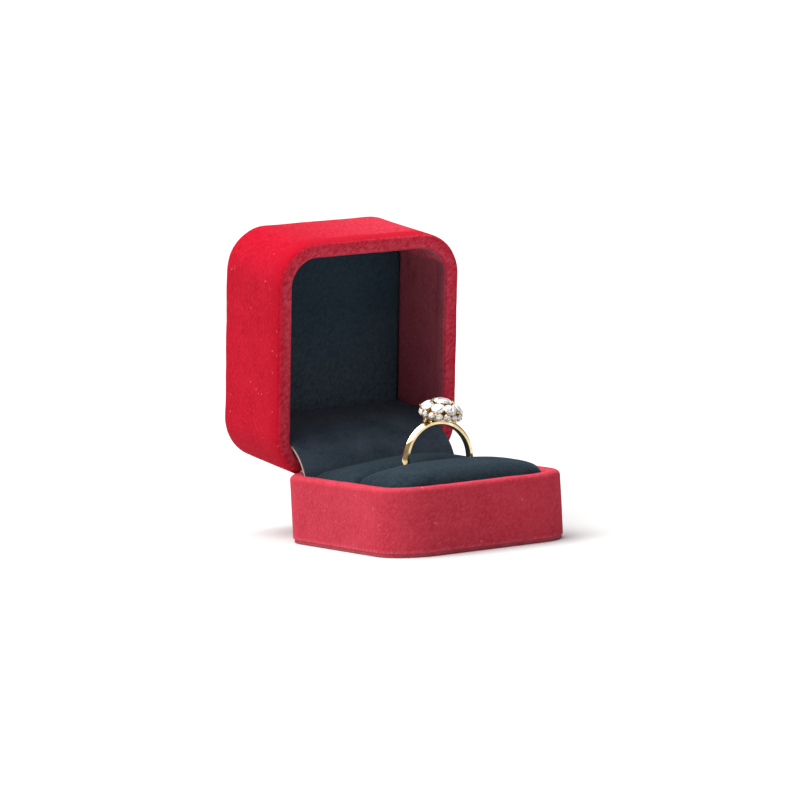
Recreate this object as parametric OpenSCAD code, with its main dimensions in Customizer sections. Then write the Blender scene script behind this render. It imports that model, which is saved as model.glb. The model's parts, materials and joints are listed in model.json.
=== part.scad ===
/* Velvet-covered ring gift box: a tray base with a slotted cushion, a deep lid on a sprung metal hinge,
   and the ring that stands in the cushion. The origin is the centre of the underside, +Y is the hinge side. */

/* [Box] */

// Outside width of the box, left to right
box_w = 52; // [42:0.5:66]
// Outside depth of the box, front to hinge side
box_d = 60; // [48:0.5:74]
// Height of the base, from the table to its rim
base_h = 16.9; // [14:0.1:24]
// Height of the lid, from its rim to its top
lid_h = 29.1; // [24:0.1:40]
// Radius of the four upright corners
corner_r = 11; // [8:0.5:14]
// Angle between the open lid and its closed position
lid_open = 82; // [60:1:90]

/* [Walls] */

// Thickness of the moulded walls
shell_t = 2.95; // [2:0.05:4]
// Thickness of the moulded floor of the base
floor_t = 1.5; // [1:0.1:3]
// Thickness of the moulded top of the lid
lid_top_t = 2; // [1:0.1:3]
// Thickness of the velvet on the outside and over the rims
velvet_t = 0.45; // [0.3:0.05:0.8]
// Width of velvet turned in over each rim
hem_h = 5; // [3:0.5:8]
// Rounding of the rims
rim_r = 1.2; // [0.9:0.1:1.7]
// Rounding round the top of the lid
top_r = 1.7; // [1:0.1:3]

/* [Underside] */

// Thickness of the board under the base
bottom_board_t = 0.8; // [0.5:0.1:2]
// Thickness of the cloth over that board
cloth_t = 0.3; // [0.2:0.05:0.6]
// Step from the side of the base in to the board's edge
lip_in = 0.6; // [0.3:0.1:1.5]

/* [Lid lining] */

// Depth from the lid's top face to the face of the padded panel
panel_depth = 7.4; // [6:0.1:10]
// Thickness of the panel's board
panel_board_t = 1.2; // [0.8:0.1:2]
// Thickness of the velvet strip on the lid's inner walls
strip_t = 0.35; // [0.2:0.05:0.4]

/* [Cushion] */

// Height of the cushion's crest above the rim
crest_h = 4; // [2:0.1:5]
// Radius of the crown from front to back of each half
crown_y_r = 40; // [25:1:90]
// Radius of the crown from side to side
crown_x_r = 110; // [70:5:300]
// Thickness of the cushion's velvet
cover_t = 0.5; // [0.3:0.05:0.8]
// Thickness of the board that carries the cushion
carrier_t = 1.2; // [0.8:0.1:2]
// Space behind the cushion for the hinge
hinge_space = 6.2; // [5.6:0.1:9]
// Space between the ring and each side of its slot
slot_gap = 0.3; // [0.2:0.05:0.6]

/* [Hinge] */

// Distance from the back face in to the hinge axis
axis_in = 2.1; // [2:0.05:2.6]
// Space between the two rims when the box is shut
rim_gap = 0.3; // [0.2:0.05:0.8]
// Radius of the hinge pin
pin_r = 0.75; // [0.5:0.05:0.9]
// Running clearance round the pin in the lid's knuckles
pin_gap = 0.05; // [0.02:0.01:0.1]
// Outside radius of the knuckles
knuckle_r = 1.6; // [1.3:0.05:1.8]
// Length of the row of knuckles
barrel_l = 38; // [30:1:42]
// Thickness of the hinge leaves
leaf_t = 0.6; // [0.4:0.05:1]
// Length of each leaf from the axis along the wall
leaf_l = 11; // [9:0.5:13]
// Width of the leaves along the wall
leaf_w = 30; // [24:1:31]
// Radius of the rivets
rivet_r = 0.8; // [0.5:0.05:1.1]
// Thickness of the snap springs
spring_t = 0.35; // [0.25:0.05:0.6]
// Width of the snap springs
spring_w = 5; // [3:0.5:6]

/* [Hinge cover] */

// Gap at each side of the cover over the hinge
cover_side = 0.55; // [0.45:0.05:6]
// Radius of the cover's curve
cover_r = 38; // [28:1:60]
// Thickness of the cover's card
cover_card_t = 0.8; // [0.4:0.1:1.2]
// Height on the lid panel where the cover meets it
cover_up = 8.3; // [6:0.1:12]

/* [Ring] */

// Inside diameter of the ring
ring_d = 17.4; // [15:0.1:20]
// Thickness of the band
band_t = 1.4; // [1:0.1:2]
// Width of the band
band_w = 2.4; // [1.6:0.1:3.6]
// Sideways place of the ring along its slot
ring_x = 2.5; // [-8:0.5:8]
// Lean of the ring to the right
ring_lean = 7; // [0:1:15]
// Height of the ring's centre above the rim
ring_up = 3.2; // [1:0.1:4]
// How far the ring can be lifted under the shut lid
ring_lift = 3; // [1:0.1:3.4]

/* [Stones] */

// Diameter of the middle stone
mid_d = 4.6; // [3.5:0.1:4.8]
// Diameter of the stones round it
petal_d = 2.9; // [2.2:0.1:3]
// Outward tilt of those stones
petal_tilt = 40; // [20:1:45]
// Diameter of the small stones under them
small_d = 1.1; // [0.8:0.1:1.2]
// Height of the middle stone's girdle above the band
head_h = 4.2; // [3.5:0.1:4.4]
// Lean of the stones' setting towards the front
head_lean = 10; // [0:1:12]
// Radius of the claws
claw_r = 0.28; // [0.2:0.01:0.35]

/* [Hidden] */

$fn = 96;
cut = 1;
slack = 0.05;
wall_t = shell_t + 2 * velvet_t;
bottom_t = bottom_board_t + cloth_t;
axis_y = box_d / 2 - axis_in;
axis_z = base_h + rim_gap / 2;
lid_z = base_h + rim_gap;
lid_top = lid_z + lid_h;
inner_y = box_d / 2 - wall_t;
inner_x = box_w / 2 - wall_t;
cover_w = 2 * (inner_x - cover_side);

// relief in both back walls, deep round the knuckles and shallow beside them, so that the lid's
// back edge swings clear of the base
relief_h = axis_in + 0.2;
relief_x = box_w / 2 - corner_r + sqrt(corner_r * corner_r - pow(corner_r - axis_in, 2)) + 0.5;
leaf_y = inner_y - slack - leaf_t;
relief_y = leaf_y - 0.2;
knuckle_room = barrel_l / 2 + 0.4;

// knuckles, five in a row, taken in turn by the base and the lid
knuckle_n = 5;
knuckle_gap = 0.25;
knuckle_l = (barrel_l - (knuckle_n - 1) * knuckle_gap) / knuckle_n;
rivet_x = [-leaf_w / 2 + 3, 0, leaf_w / 2 - 3];
rivet_at = leaf_l - 3;
rivet_deep = shell_t - 0.7;
rivet_gap = 0.02;
rivet_head_r = 2 * rivet_r;
rivet_head_t = 0.5;
spring_x = leaf_w / 4 + 0.2;
spring_y = leaf_y - 1.6;
spring_bend = 5;

// cushion
seat_gap = 0.3;
floor_z = bottom_t + floor_t;
foam_z = floor_z + slack + carrier_t;
cushion_back = inner_y - hinge_space;
cushion_front = -inner_y + seat_gap;
slot_y = (cushion_back + cushion_front) / 2;
slot_half = band_w / 2 + slot_gap;
crest_z = base_h + crest_h;
half_d = (cushion_back - cushion_front) / 2 - slot_half;
skirt_z = foam_z + 2;

// lid panel
panel_z = lid_top - panel_depth;
panel_gap = 0.15;
board_top = lid_top - velvet_t - lid_top_t - slack;
board_z = board_top - panel_board_t;

// hinge cover: an arc from behind the cushion up to the lid's panel, with a straight tail
lid_cos = cos(lid_open);
lid_sin = sin(lid_open);
meet_dy = leaf_y - cover_up - axis_y;
meet_dz = panel_z - axis_z - slack;
meet = [axis_y + meet_dy * lid_cos + meet_dz * lid_sin, axis_z - meet_dy * lid_sin + meet_dz * lid_cos];
foot = [cushion_back + slack, base_h + 0.9];
chord = meet - foot;
chord_l = norm(chord);
chord_n = [chord[1], -chord[0]] / chord_l;
cover_c = (foot + meet) / 2 + chord_n * sqrt(cover_r * cover_r - chord_l * chord_l / 4);
tail_l = 9;

// ring
ring_r = ring_d / 2;
band_r = ring_r + band_t;
ring_z = base_h + ring_up;
girdle_z = band_r + head_h;
stone_gap = 0.03;
petal_n = 8;
small_n = 16;
petal_r = mid_d / 2 + petal_d / 2 + 0.25;
petal_drop = 1.4;
pavilion = 0.86;
crown_part = 0.16;
table_part = 0.57;
drill_r = 0.15;
drill_l = 0.2;
seat_top = 0.12;
claw_l = 0.3;
claw_tip = 0.25;
drum_z = band_r + 0.4;
drum_r = petal_r + (petal_d / 2 + 0.2) * cos(petal_tilt);
top_rim_r = mid_d / 2 + 0.4;
rim_z = girdle_z - petal_drop + seat_top / cos(petal_tilt) - (drum_r - petal_r) * tan(petal_tilt);
drum_floor = 0.7;
post_r = band_w / 2 - 0.25;
small_z = (drum_z + rim_z) / 2;

/* ---------- shared shapes ---------- */

// rounded rectangle as seen from above
module plan(w, d, r) {
    square([w, d - 2 * r], center = true);
    square([w - 2 * r, d], center = true);
    for (x = [-1, 1], y = [-1, 1])
        translate([x * (w / 2 - r), y * (d / 2 - r)])
            circle(r);
}

module slab(inset, z0, z1) {
    translate([0, 0, z0])
        linear_extrude(z1 - z0)
            plan(box_w - 2 * inset, box_d - 2 * inset, corner_r - inset);
}

// sweep of an upright section round the box; x = 0 is the outside face and the section lies at x < 0
module swept() {
    for (turn = [0, 180])
        rotate([0, 0, turn]) {
            translate([box_w / 2 - corner_r, box_d / 2 - corner_r, 0])
                rotate_extrude(angle = 90)
                    translate([corner_r, 0])
                        children();
            translate([corner_r - box_w / 2, box_d / 2 - corner_r, 0])
                rotate([0, 0, 90])
                    rotate_extrude(angle = 90)
                        translate([corner_r, 0])
                            children();
            translate([box_w / 2, box_d / 2 - corner_r, 0])
                rotate([90, 0, 0])
                    linear_extrude(box_d - 2 * corner_r)
                        children();
            translate([corner_r - box_w / 2, box_d / 2, 0])
                rotate([90, 0, 90])
                    linear_extrude(box_w - 2 * corner_r)
                        children();
        }
}

// what is taken off to round the corner of a section; sx and sy point into the section
module off_corner(x, y, sx, sy, r) {
    difference() {
        translate([x + sx * (r - cut) / 2, y + sy * (r - cut) / 2])
            square(r + cut, center = true);
        translate([x + sx * r, y + sy * r])
            circle(r);
    }
}

module base_wall_section(x0, x1, top, r) {
    difference() {
        translate([x0, bottom_t])
            square([x1 - x0, top - bottom_t]);
        off_corner(x0, top, 1, -1, r);
        off_corner(x1, top, -1, -1, r);
    }
}

module lid_wall_section(x0, x1, rim, top, r, r_top) {
    difference() {
        translate([x0, rim])
            square([x1 - x0, top - rim]);
        off_corner(x0, rim, 1, 1, r);
        off_corner(x1, rim, -1, 1, r);
        off_corner(x1, top, -1, -1, r_top);
    }
}

module back_relief(more) {
    translate([-knuckle_room - more, relief_y - more, axis_z - relief_h - more])
        cube([2 * (knuckle_room + more), box_d, 2 * (relief_h + more)]);
    translate([-relief_x - more, axis_y - rim_gap / 2 - more, axis_z - relief_h - more])
        cube([2 * (relief_x + more), box_d, 2 * (relief_h + more)]);
}

module rod(x, length, r) {
    translate([x - length / 2, axis_y, axis_z])
        rotate([0, 90, 0])
            cylinder(h = length, r = r);
}

module turned_open() {
    translate([0, axis_y, axis_z])
        rotate([-lid_open, 0, 0])
            translate([0, -axis_y, -axis_z])
                children();
}

// up = 1 for the lid, -1 for the base
module rivet_rods(up, y0, y1, r) {
    for (x = rivet_x)
        translate([x, y0, axis_z + up * rivet_at])
            rotate([-90, 0, 0])
                cylinder(h = y1 - y0, r = r);
}

module rivets(up) {
    rivet_rods(up, leaf_y - rivet_head_t, leaf_y, rivet_head_r);
    rivet_rods(up, leaf_y - cut / 10, inner_y + velvet_t + rivet_deep, rivet_r);
}

module rivet_holes(up) {
    rivet_rods(up, inner_y - cut, inner_y + velvet_t + rivet_deep + slack, rivet_r + rivet_gap);
}

/* ---------- base ---------- */

module base_shell() {
    color("dimgray")
        difference() {
            union() {
                swept()
                    base_wall_section(-velvet_t - shell_t, -velvet_t, base_h - velvet_t, rim_r - velvet_t);
                slab(velvet_t + shell_t / 2, bottom_t, floor_z);
            }
            back_relief(velvet_t);
            rivet_holes(-1);
        }
}

module base_velvet() {
    color("crimson")
        difference() {
            swept()
                difference() {
                    base_wall_section(-wall_t, 0, base_h, rim_r);
                    base_wall_section(-velvet_t - shell_t, -velvet_t, base_h - velvet_t, rim_r - velvet_t);
                    translate([-wall_t - cut, bottom_t - cut])
                        square([velvet_t + cut, base_h - hem_h - bottom_t + cut]);
                }
            back_relief(0);
        }
}

module bottom_board() {
    color("tan")
        slab(lip_in + cloth_t, cloth_t, bottom_t);
}

module bottom_cloth() {
    color("firebrick")
        difference() {
            slab(lip_in, 0, bottom_t);
            slab(lip_in + cloth_t, cloth_t, bottom_t + cut);
        }
}

/* ---------- cushion ---------- */

module cushion_block(inset, z0) {
    intersection() {
        translate([0, 0, z0])
            linear_extrude(crest_z)
                intersection() {
                    plan(2 * (inner_x - seat_gap - inset), 2 * (inner_y - seat_gap - inset),
                        corner_r - wall_t - seat_gap - inset);
                    translate([-box_w, -box_d])
                        square([2 * box_w, box_d + cushion_back - inset]);
                }
        translate([0, box_d, crest_z - crown_x_r])
            rotate([90, 0, 0])
                cylinder(h = 2 * box_d, r = crown_x_r - inset, $fn = 180);
    }
}

// side = -1 for the front half, 1 for the back half
module cushion_half(side, inset, z0) {
    intersection() {
        cushion_block(inset, z0);
        translate([-box_w, slot_y + (side > 0 ? slot_half + inset : -slot_half - inset - box_d), z0 - cut])
            cube([2 * box_w, box_d, 2 * crest_z]);
        translate([-box_w, slot_y + side * (slot_half + half_d / 2), crest_z - crown_y_r])
            rotate([0, 90, 0])
                cylinder(h = 2 * box_w, r = crown_y_r - inset, $fn = 180);
    }
}

module cushion_cover(side) {
    difference() {
        cushion_half(side, 0, skirt_z);
        cushion_half(side, cover_t, foam_z);
    }
}

module cushion_carrier() {
    color("burlywood")
        intersection() {
            union() {
                translate([-box_w, -box_d, floor_z + slack])
                    cube([2 * box_w, box_d + cushion_back, carrier_t]);
                translate([-box_w, cushion_back - cover_t, floor_z + slack])
                    cube([2 * box_w, cover_t, skirt_z - floor_z - 2 * slack]);
            }
            cushion_block(0, 0);
        }
}

module cushion_foam_front() {
    color("gray")
        cushion_half(-1, cover_t, foam_z);
}

module cushion_foam_back() {
    color("gray")
        cushion_half(1, cover_t, foam_z);
}

module cushion_velvet_front() {
    color("black")
        cushion_cover(-1);
}

module cushion_velvet_back() {
    color("black")
        cushion_cover(1);
}

/* ---------- hinge ---------- */

// first = 0 gives the base's knuckles, first = 1 the lid's
module knuckles(first, r, more) {
    for (n = [first : 2 : knuckle_n - 1])
        rod((n - (knuckle_n - 1) / 2) * (knuckle_l + knuckle_gap), knuckle_l + 2 * more, r);
}

module leaf(up, first, bore) {
    difference() {
        union() {
            knuckles(first, knuckle_r, 0);
            translate([-leaf_w / 2, leaf_y, axis_z + (up > 0 ? knuckle_r - leaf_t : -leaf_l)])
                cube([leaf_w, leaf_t, leaf_l - knuckle_r + leaf_t]);
            translate([-barrel_l / 2, leaf_y, axis_z + (up > 0 ? knuckle_r - leaf_t : -knuckle_r)])
                cube([barrel_l, axis_y - leaf_y, leaf_t]);
        }
        knuckles(1 - first, knuckle_r + knuckle_gap, knuckle_gap);
        rod(0, barrel_l + cut, bore);
        rivet_rods(up, leaf_y - cut, inner_y + cut, rivet_r + rivet_gap);
    }
}

module base_leaf() {
    color("silver")
        leaf(-1, 0, pin_r);
}

module base_rivets() {
    color("silver")
        rivets(-1);
}

module hinge_pin() {
    color("silver")
        rod(0, barrel_l, pin_r);
}

// bent strip: a leg up from a foot on the base's leaf, a round bend, and a leg out over the lid's leaf
module spring_section() {
    translate([spring_y, axis_z - rivet_at])
        square([spring_t, rivet_at]);
    translate([spring_y, axis_z - rivet_at])
        square([leaf_y - spring_y, spring_t]);
    translate([spring_y + spring_bend, axis_z])
        difference() {
            intersection() {
                circle(spring_bend);
                translate([-spring_bend, 0])
                    square(spring_bend);
            }
            circle(spring_bend - spring_t);
        }
    translate([spring_y + spring_bend, axis_z + spring_bend - spring_t])
        square([rivet_at, spring_t]);
}

module spring(x) {
    translate([x - spring_w / 2, 0, 0])
        rotate([90, 0, 90])
            linear_extrude(spring_w)
                spring_section();
}

module snap_spring_left() {
    color("lightsteelblue")
        spring(-spring_x);
}

module snap_spring_right() {
    color("lightsteelblue")
        spring(spring_x);
}

/* ---------- lid ---------- */

module lid_shell() {
    color("dimgray")
        turned_open()
            difference() {
                union() {
                    swept()
                        lid_wall_section(-velvet_t - shell_t, -velvet_t, lid_z + velvet_t,
                            lid_top - velvet_t, rim_r - velvet_t, top_r - velvet_t);
                    slab(velvet_t + shell_t / 2, lid_top - velvet_t - lid_top_t, lid_top - velvet_t);
                }
                back_relief(velvet_t);
                rivet_holes(1);
            }
}

module lid_velvet() {
    color("crimson")
        turned_open()
            difference() {
                union() {
                    swept()
                        difference() {
                            lid_wall_section(-wall_t, 0, lid_z, lid_top, rim_r, top_r);
                            lid_wall_section(-velvet_t - shell_t, -velvet_t, lid_z + velvet_t,
                                lid_top - velvet_t, rim_r - velvet_t, top_r - velvet_t);
                            translate([-wall_t - cut, lid_z + hem_h])
                                square([velvet_t + cut, lid_h]);
                        }
                    slab(velvet_t + shell_t / 2, lid_top - velvet_t, lid_top);
                }
                back_relief(0);
            }
}

module lid_strip() {
    color("maroon")
        turned_open()
            difference() {
                swept()
                    translate([-velvet_t - shell_t - strip_t, lid_z + hem_h + slack])
                        square([strip_t, board_top - lid_z - hem_h - slack]);
                translate([-leaf_w / 2 - cut, leaf_y - cut, 0])
                    cube([leaf_w + 2 * cut, box_d, axis_z + leaf_l + cut]);
            }
}

module panel_board() {
    color("burlywood")
        turned_open()
            slab(wall_t + panel_gap + cover_t, board_z, board_top);
}

module panel_foam() {
    color("gray")
        turned_open()
            slab(wall_t + panel_gap + cover_t, panel_z + cover_t, board_z);
}

module panel_velvet() {
    color("black")
        turned_open()
            difference() {
                slab(wall_t + panel_gap, panel_z, board_top);
                slab(wall_t + panel_gap + cover_t, panel_z + cover_t, board_top + cut);
            }
}

module lid_leaf() {
    color("silver")
        turned_open()
            leaf(1, 1, pin_r + pin_gap);
}

module lid_rivets() {
    color("silver")
        turned_open()
            rivets(1);
}

/* ---------- hinge cover ---------- */

module cover_section(r0, r1) {
    intersection() {
        translate(cover_c)
            difference() {
                circle(r1, $fn = 360);
                circle(r0, $fn = 360);
            }
        polygon([cover_c, cover_c + 2 * (foot - cover_c), cover_c - 4 * cover_r * chord_n,
            cover_c + 2 * (meet - cover_c)]);
    }
    translate([foot[0] + cover_r - r1, foot[1] - tail_l])
        square([r1 - r0, tail_l + slack]);
}

module cover_sheet() {
    translate([-cover_w / 2, 0, 0])
        rotate([90, 0, 90])
            linear_extrude(cover_w)
                children();
}

module hinge_cover_card() {
    color("wheat")
        cover_sheet()
            difference() {
                cover_section(cover_r - cover_t - cover_card_t, cover_r - cover_t);
                cover_section(cover_r - cover_t, cover_r);
            }
}

module hinge_cover_velvet() {
    color("black")
        cover_sheet()
            cover_section(cover_r - cover_t, cover_r);
}

/* ---------- ring ---------- */

module on_ring() {
    translate([ring_x, slot_y, ring_z])
        rotate([0, ring_lean, 0])
            children();
}

// the setting leans on the band's top
module leaned() {
    translate([0, 0, band_r])
        rotate([head_lean, 0, 0])
            translate([0, 0, -band_r])
                children();
}

module at_petals() {
    for (n = [0 : petal_n - 1])
        rotate([0, 0, 360 * n / petal_n])
            translate([petal_r, 0, girdle_z - petal_drop])
                rotate([0, petal_tilt, 0])
                    children();
}

module at_smalls() {
    for (n = [0 : small_n - 1])
        rotate([0, 0, 360 * (n + 0.5) / small_n])
            translate([drum_r - slack, 0, small_z])
                rotate([0, 90, 0])
                    children();
}

// round brilliant: pavilion below its girdle, crown and flat table above
module stone(d) {
    translate([0, 0, -pavilion * d / 2])
        cylinder(h = pavilion * d / 2, r1 = 0, r2 = d / 2);
    cylinder(h = crown_part * d, r1 = d / 2, r2 = table_part * d / 2);
}

// room for a stone, with a small drilled hole under its tip
module seat_space(d) {
    translate([0, 0, -pavilion * d / 2 - drill_l])
        cylinder(h = pavilion * d / 2, r = drill_r);
    translate([0, 0, drill_r * pavilion - pavilion * d / 2 - stone_gap])
        cylinder(h = pavilion * (d / 2 - drill_r) + stone_gap, r1 = drill_r, r2 = d / 2 + stone_gap);
    cylinder(h = d, r = d / 2 + stone_gap);
}

module band_section() {
    intersection() {
        translate([ring_r, -band_w / 2])
            square([band_t, band_w]);
        translate([band_r - 2, 0])
            circle(2);
    }
}

module band_turned() {
    rotate([90, 0, 0])
        rotate_extrude()
            band_section();
}

module ring_band() {
    color("gold")
        on_ring()
            band_turned();
}

// half section of the setting: a drum with a dome of two slopes over it
module drum_section() {
    polygon([[0, drum_z], [drum_r, drum_z], [drum_r, rim_z], [top_rim_r, girdle_z + seat_top],
        [0, girdle_z + seat_top]]);
}

module ring_gallery() {
    color("gold")
        on_ring()
            difference() {
                leaned()
                    difference() {
                        union() {
                            difference() {
                                rotate_extrude()
                                    drum_section();
                                translate([0, 0, drum_z - cut])
                                    cylinder(h = drum_floor + cut, r = drum_r - 1.2);
                            }
                            translate([-post_r, -post_r, band_r - band_t / 2])
                                cube([2 * post_r, 2 * post_r, drum_z + drum_floor + post_r - band_r]);
                        }
                        translate([0, 0, girdle_z])
                            seat_space(mid_d);
                        at_petals()
                            seat_space(petal_d);
                        at_smalls()
                            seat_space(small_d);
                    }
                band_turned();
            }
}

module claw(d, turn) {
    rotate([0, 0, turn])
        translate([d / 2 + claw_r + stone_gap, 0, seat_top]) {
            cylinder(h = claw_l, r = claw_r);
            translate([0, 0, claw_l])
                cylinder(h = claw_tip, r1 = claw_r, r2 = claw_r / 2);
        }
}

module ring_claws() {
    color("gold")
        on_ring()
            leaned() {
                translate([0, 0, girdle_z])
                    for (n = [0 : petal_n - 1])
                        claw(mid_d, 360 * (n + 0.5) / petal_n);
                at_petals()
                    for (turn = [-45, 45])
                        claw(petal_d, turn);
            }
}

module ring_middle_stone() {
    color("white")
        on_ring()
            leaned()
                translate([0, 0, girdle_z])
                    stone(mid_d);
}

module ring_petal_stones() {
    color("white")
        on_ring()
            leaned()
                at_petals()
                    stone(petal_d);
}

module ring_small_stones() {
    color("white")
        on_ring()
            leaned()
                at_smalls()
                    stone(small_d);
}

base_shell();
base_velvet();
bottom_board();
bottom_cloth();
cushion_carrier();
cushion_foam_front();
cushion_foam_back();
cushion_velvet_front();
cushion_velvet_back();
base_leaf();
base_rivets();
hinge_pin();
snap_spring_left();
snap_spring_right();
lid_shell();
lid_velvet();
lid_strip();
panel_board();
panel_foam();
panel_velvet();
lid_leaf();
lid_rivets();
hinge_cover_card();
hinge_cover_velvet();
ring_band();
ring_gallery();
ring_claws();
ring_middle_stone();
ring_petal_stones();
ring_small_stones();
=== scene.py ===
import json
import math
import random

import bmesh
import bpy
from mathutils import Matrix, Vector, noise


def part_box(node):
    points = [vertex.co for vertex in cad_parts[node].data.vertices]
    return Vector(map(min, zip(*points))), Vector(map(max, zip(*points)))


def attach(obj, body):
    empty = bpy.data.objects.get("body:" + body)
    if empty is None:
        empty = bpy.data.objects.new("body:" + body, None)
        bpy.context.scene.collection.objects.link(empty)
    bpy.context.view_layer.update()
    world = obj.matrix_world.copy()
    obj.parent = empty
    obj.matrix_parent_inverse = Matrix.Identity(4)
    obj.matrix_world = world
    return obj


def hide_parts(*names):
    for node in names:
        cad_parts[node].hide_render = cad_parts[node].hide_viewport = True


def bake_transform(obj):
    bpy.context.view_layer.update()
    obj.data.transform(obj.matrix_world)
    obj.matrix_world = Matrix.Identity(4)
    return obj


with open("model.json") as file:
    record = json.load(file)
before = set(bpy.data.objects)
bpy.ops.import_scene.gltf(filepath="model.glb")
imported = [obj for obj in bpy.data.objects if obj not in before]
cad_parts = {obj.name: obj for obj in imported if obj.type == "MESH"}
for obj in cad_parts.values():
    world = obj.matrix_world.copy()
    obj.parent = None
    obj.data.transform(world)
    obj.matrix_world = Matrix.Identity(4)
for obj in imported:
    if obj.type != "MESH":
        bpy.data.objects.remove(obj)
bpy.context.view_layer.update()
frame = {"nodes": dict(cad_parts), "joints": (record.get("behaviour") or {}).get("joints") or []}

mm = 0.001
hinge = {j["name"]: j for j in frame["joints"]}["lid_hinge"]
hingeAt = Vector(hinge["pos_m"]) / mm
openAngle = math.radians(hinge["range_deg"][1])
openLid = (Matrix.Translation(hingeAt) @ Matrix.Rotation(-openAngle, 4, "X")
           @ Matrix.Translation(-hingeAt))  # shut place to open place, in millimetres
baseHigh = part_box("base_velvet")[1] / mm
boxWidth, boxDepth, baseTop = baseHigh.x * 2, baseHigh.y * 2, baseHigh.z

shape = {
    "corner": 11.0,      # radius of the upright corners
    "wall": 3.85,        # rim thickness with its velvet
    "rim": 1.25,         # rounding of the rims
    "lidTop": 1.8,       # rounding round the lid's top
    "lidHeight": 29.1,
    "gap": 0.3,          # between the rims when shut
    "sideSteps": 26,
    "cornerSteps": 14,
}
lidLow = baseTop + shape["gap"]
lidHigh = lidLow + shape["lidHeight"]


# materials
def nodeTree(name):
    material = bpy.data.materials.new(name)
    material.use_nodes = True
    tree = material.node_tree
    shader = tree.nodes["Principled BSDF"]
    return material, tree, shader


def addNode(tree, kind, inputs=None, **props):
    node = tree.nodes.new(kind)
    for key, value in props.items():
        setattr(node, key, value)
    for key, value in (inputs or {}).items():
        if isinstance(value, bpy.types.NodeSocket):
            tree.links.new(value, node.inputs[key])
        else:
            node.inputs[key].default_value = value
    return node


def noiseOf(tree, place, scale, detail=3.0, rough=0.55, distort=0.0):
    return addNode(tree, "ShaderNodeTexNoise", {"Vector": place, "Scale": scale, "Detail": detail,
                                                "Roughness": rough, "Distortion": distort}).outputs["Fac"]


def ramp(tree, value, low, high, start=0.0, end=1.0):
    return addNode(tree, "ShaderNodeMapRange", {"Value": value, "From Min": low, "From Max": high,
                                                "To Min": start, "To Max": end}).outputs["Result"]


def mixColour(tree, factor, first, second, blend="MIX"):
    node = addNode(tree, "ShaderNodeMix", {"Factor": factor}, data_type="RGBA", blend_type=blend)
    for socket, value in ((6, first), (7, second)):
        if isinstance(value, bpy.types.NodeSocket):
            tree.links.new(value, node.inputs[socket])
        else:
            node.inputs[socket].default_value = (*value, 1.0)
    return node.outputs[2]


def maths(tree, operation, first, second=0.0, clamp=False):
    return addNode(tree, "ShaderNodeMath", {0: first, 1: second}, operation=operation,
                   use_clamp=clamp).outputs[0]


def velvet(name, look):
    material, tree, shader = nodeTree(name)
    place = addNode(tree, "ShaderNodeTexCoord").outputs["Object"]
    turned = addNode(tree, "ShaderNodeMapping", {"Vector": place, "Rotation": look["lay"],
                                                 "Scale": (1.0, 1.0, look["stretch"])},
                     vector_type="TEXTURE").outputs[0]
    brushed = noiseOf(tree, place, look["brushScale"], 3.0, 0.55, 0.4)
    streak = noiseOf(tree, turned, look["streakScale"], 3.0, 0.6, 0.3)
    pile = noiseOf(tree, place, look["pileScale"], 2.0, 0.6)
    colour = mixColour(tree, ramp(tree, brushed, 0.32, 0.7), look["deep"], look["lit"])
    colour = mixColour(tree, ramp(tree, streak, 0.42, 0.74), colour, look["tip"])
    grain = ramp(tree, pile, 0.3, 0.7, 1.0 - look["grain"], 1.0 + look["grain"])
    colour = addNode(tree, "ShaderNodeVectorMath", {0: colour, "Scale": grain}, operation="SCALE").outputs[0]
    # painted light and shade: above 0 mixes toward the pale colour, as painted light in most places and as
    # real frayed pile along the base's seam; below 0 mixes toward the deep colour as painted shade
    nap = addNode(tree, "ShaderNodeAttribute", attribute_name="nap").outputs["Fac"]
    streakMix = ramp(tree, streak, 0.35, 0.65, 0.35, 1.2)
    colour = mixColour(tree, maths(tree, "MULTIPLY", ramp(tree, nap, 0.0, 1.0), streakMix), colour, look["paintedLightAndWornColour"])
    colour = mixColour(tree, ramp(tree, nap, 0.0, -1.0), colour, look["deep"])
    # lint: a few short bent fibres caught in the pile
    wander = addNode(tree, "ShaderNodeTexNoise", {"Vector": place, "Scale": look["bendScale"]})
    wander = addNode(tree, "ShaderNodeVectorMath", {0: wander.outputs["Color"], 1: (look["lintBend"],) * 3},
                     operation="MULTIPLY").outputs[0]
    bent = addNode(tree, "ShaderNodeVectorMath", {0: place, 1: wander}, operation="ADD").outputs[0]
    cells = addNode(tree, "ShaderNodeTexVoronoi", {"Vector": bent, "Scale": look["lintScale"]})
    near = ramp(tree, cells.outputs["Distance"], look["lintSize"] * 0.6, look["lintSize"], 1.0, 0.0)
    chosen = addNode(tree, "ShaderNodeSeparateColor", {"Color": cells.outputs["Color"]}).outputs[0]
    chosen = ramp(tree, chosen, look["lintShare"], look["lintShare"] + 0.02)
    lint = maths(tree, "MULTIPLY", near, chosen, True)
    colour = mixColour(tree, maths(tree, "MULTIPLY", lint, look["lintStrength"]), colour, look["lint"])
    tree.links.new(colour, shader.inputs["Base Color"])
    shader.inputs["Roughness"].default_value = look["rough"]
    shader.inputs["Specular IOR Level"].default_value = look["gloss"]
    shader.inputs["Sheen Weight"].default_value = look["sheen"]
    shader.inputs["Sheen Roughness"].default_value = look["sheenRough"]
    shader.inputs["Sheen Tint"].default_value = (*look["sheenTint"], 1.0)
    height = maths(tree, "ADD", maths(tree, "MULTIPLY", pile, 0.6), maths(tree, "MULTIPLY", streak, 0.8))
    height = maths(tree, "ADD", height, lint)
    bump = addNode(tree, "ShaderNodeBump", {"Strength": look["bump"], "Distance": 0.00015, "Height": height})
    tree.links.new(bump.outputs["Normal"], shader.inputs["Normal"])
    return material


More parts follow.
